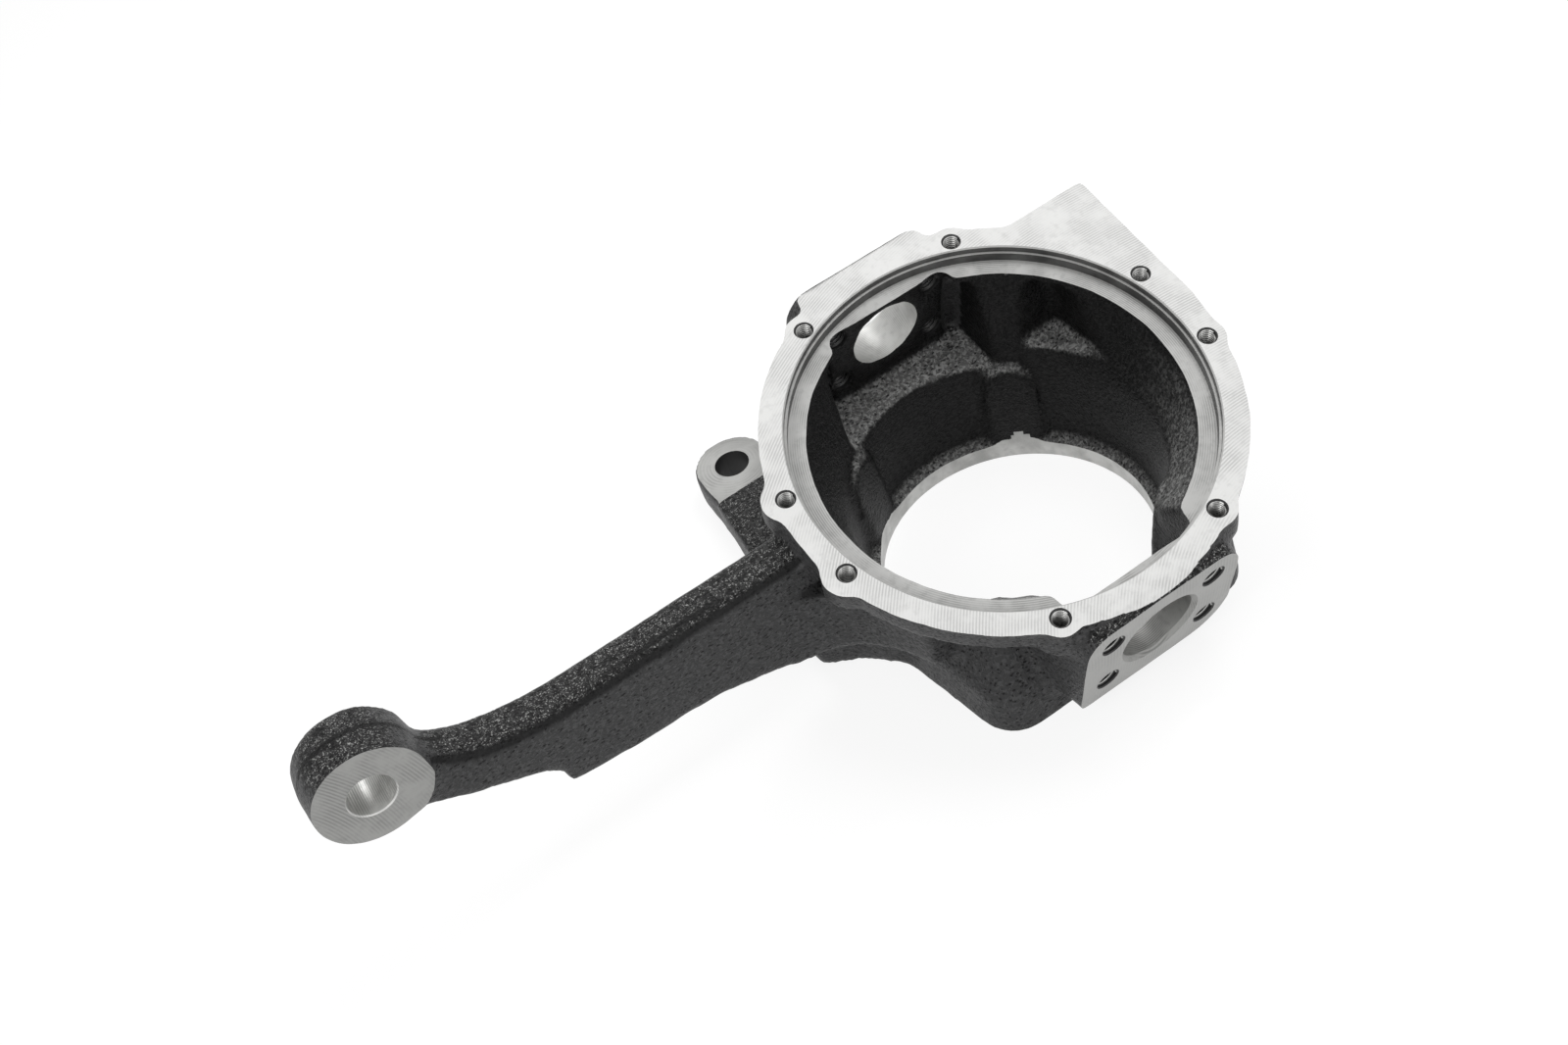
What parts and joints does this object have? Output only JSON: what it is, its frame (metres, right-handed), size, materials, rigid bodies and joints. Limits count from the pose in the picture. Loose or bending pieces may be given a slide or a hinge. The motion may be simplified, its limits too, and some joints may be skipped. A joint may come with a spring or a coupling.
{
  "type": "steering_knuckle",
  "caption": "Steering knuckle of a light off-road axle: black cast iron bowl with a machined seal ring, kingpin flanges, steering arm with tie-rod eye and caliper ear",
  "frame": {"origin": "Centre of the spindle bore, on the spindle face", "axes": "+Z along the wheel axis towards the axle, +Y up on the vehicle, -X along the steering arm"},
  "size_m": [0.3244, 0.1979, 0.0999],
  "materials": {
    "cast_iron_black": "satin black over a coarse sand-cast skin; machined faces bare and light grey"
  },
  "bodies": {
    "root": {"knuckle_casting": "cast_iron_black"}
  },
  "joints": []
}
